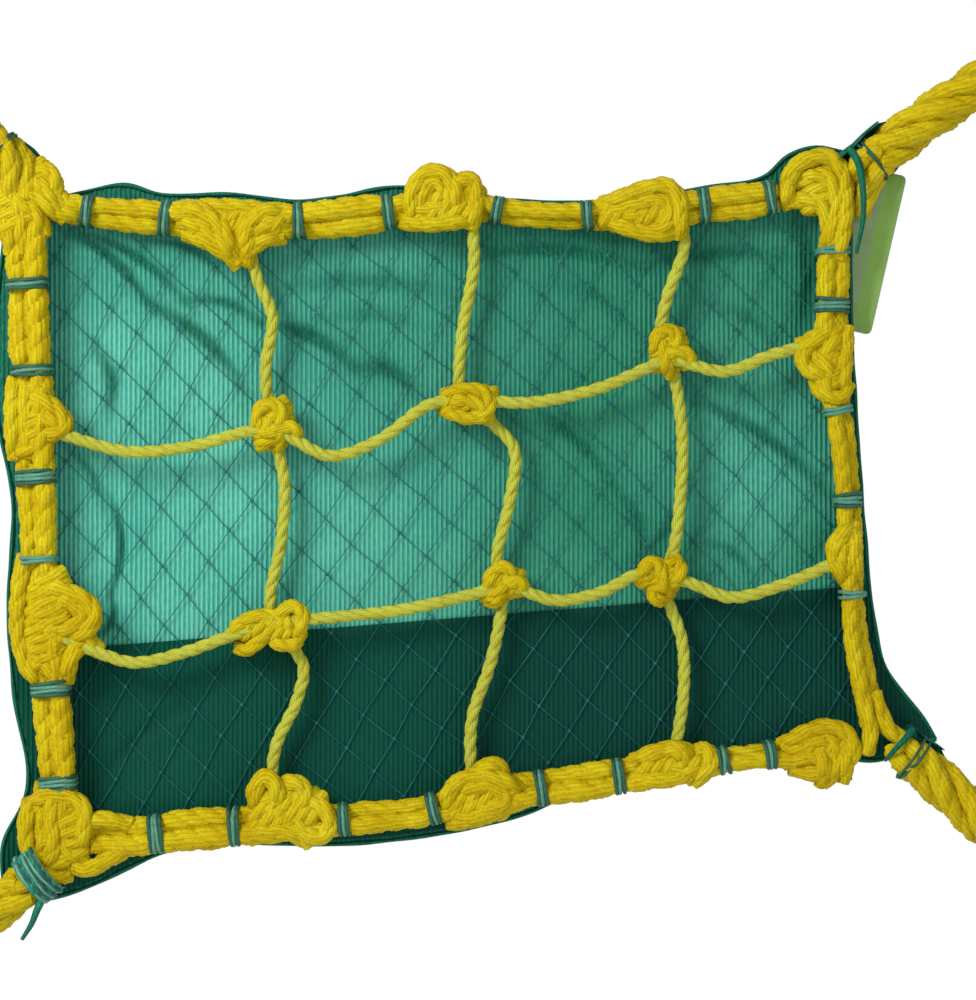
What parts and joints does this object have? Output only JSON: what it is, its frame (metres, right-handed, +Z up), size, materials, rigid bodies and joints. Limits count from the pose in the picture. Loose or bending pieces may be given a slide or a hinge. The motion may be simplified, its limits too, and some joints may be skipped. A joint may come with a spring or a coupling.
{
  "type": "rope safety net panel",
  "caption": "Small sample panel of knotted rope netting in a rope border, laced over shade cloth and a fine diamond net, with a tie rope and eye at each corner.",
  "frame": {"origin": "centre of the panel between its four held corners, on the border rope's centre plane; the part is held up, so this is the mount four_corner_hang", "axes": "+X to the right along the panel's width, +Z up, and the front of the net faces -Y"},
  "size_m": [0.7489, 0.0343, 0.6111],
  "materials": {
    "yellow_rope": "laid polypropylene monofilament rope, slightly glossy, worn fuzz",
    "green_twine": "twisted green polyethylene twine, satin",
    "shade_cloth": "knitted polyethylene shade cloth with fine vertical ribs",
    "dark_layer": "dark knitted cloth laid over the lower row, matt",
    "fine_net": "thin blue-green knotted nylon monofilament",
    "tag_card": "glossy laminated card, plain, with no print"
  },
  "bodies": {
    "upper_net": {"border_rope_top": "yellow_rope", "border_rope_left_upper": "yellow_rope", "border_rope_right_upper": "yellow_rope", "mesh_cord_v1_upper": "yellow_rope", "mesh_cord_v2_upper": "yellow_rope", "mesh_cord_v3_upper": "yellow_rope", "mesh_cord_h1": "yellow_rope", "mesh_knot_c1r1": "yellow_rope", "mesh_knot_c2r1": "yellow_rope", "mesh_knot_c3r1": "yellow_rope", "border_knot_top_1": "yellow_rope", "border_knot_top_2": "yellow_rope", "border_knot_top_3": "yellow_rope", "border_knot_left_1": "yellow_rope", "border_knot_right_1": "yellow_rope", "corner_knot_tl": "yellow_rope", "corner_knot_tr": "yellow_rope", "lashing_top": "green_twine", "lashing_left_upper": "green_twine", "lashing_right_upper": "green_twine", "shade_cloth_upper": "shade_cloth", "diamond_net_upper": "fine_net", "corner_wrap_tl": "green_twine", "corner_wrap_tr": "green_twine", "tag_string": "green_twine"},
    "lower_net": {"border_rope_bottom": "yellow_rope", "border_rope_left_lower": "yellow_rope", "border_rope_right_lower": "yellow_rope", "mesh_cord_v1_lower": "yellow_rope", "mesh_cord_v2_lower": "yellow_rope", "mesh_cord_v3_lower": "yellow_rope", "mesh_cord_h2": "yellow_rope", "mesh_knot_c1r2": "yellow_rope", "mesh_knot_c2r2": "yellow_rope", "mesh_knot_c3r2": "yellow_rope", "border_knot_bottom_1": "yellow_rope", "border_knot_bottom_2": "yellow_rope", "border_knot_bottom_3": "yellow_rope", "border_knot_left_2": "yellow_rope", "border_knot_right_2": "yellow_rope", "corner_knot_bl": "yellow_rope", "corner_knot_br": "yellow_rope", "lashing_bottom": "green_twine", "lashing_left_lower": "green_twine", "lashing_right_lower": "green_twine", "shade_cloth_lower": "shade_cloth", "shade_layer_lower": "dark_layer", "diamond_net_lower": "fine_net", "corner_wrap_bl": "green_twine", "corner_wrap_br": "green_twine"},
    "tie_tl": {"tie_rope_tl": "yellow_rope", "tie_eye_tl": "yellow_rope"},
    "tie_tr": {"tie_rope_tr": "yellow_rope", "tie_eye_tr": "yellow_rope"},
    "tie_bl": {"tie_rope_bl": "yellow_rope", "tie_eye_bl": "yellow_rope"},
    "tie_br": {"tie_rope_br": "yellow_rope", "tie_eye_br": "yellow_rope"},
    "tag": {"tag": "tag_card"}
  },
  "joints": [
    {"name": "mid_fold", "type": "hinge", "parent": "upper_net", "child": "lower_net", "pos_m": [0, -0.0048, 0.0025], "axis": [-0.9962, 0, -0.0872], "range_deg": [0, 150]},
    {"name": "tie_swing_tl", "type": "hinge", "parent": "upper_net", "child": "tie_tl", "pos_m": [-0.221, -0.005, 0.175], "axis": [0, 1, 0], "range_deg": [-45, 45]},
    {"name": "tie_swing_tr", "type": "hinge", "parent": "upper_net", "child": "tie_tr", "pos_m": [0.2213, -0.005, 0.1734], "axis": [0, 1, 0], "range_deg": [-45, 45]},
    {"name": "tie_swing_bl", "type": "hinge", "parent": "lower_net", "child": "tie_bl", "pos_m": [-0.212, -0.005, -0.1965], "axis": [0, 1, 0], "range_deg": [-45, 45]},
    {"name": "tie_swing_br", "type": "hinge", "parent": "lower_net", "child": "tie_br", "pos_m": [0.24, -0.005, -0.132], "axis": [0, 1, 0], "range_deg": [-45, 45]},
    {"name": "tag_swing", "type": "hinge", "parent": "upper_net", "child": "tag", "pos_m": [0.2193, 0.0149, 0.1673], "axis": [0, 1, 0], "range_deg": [-50, 50]}
  ]
}
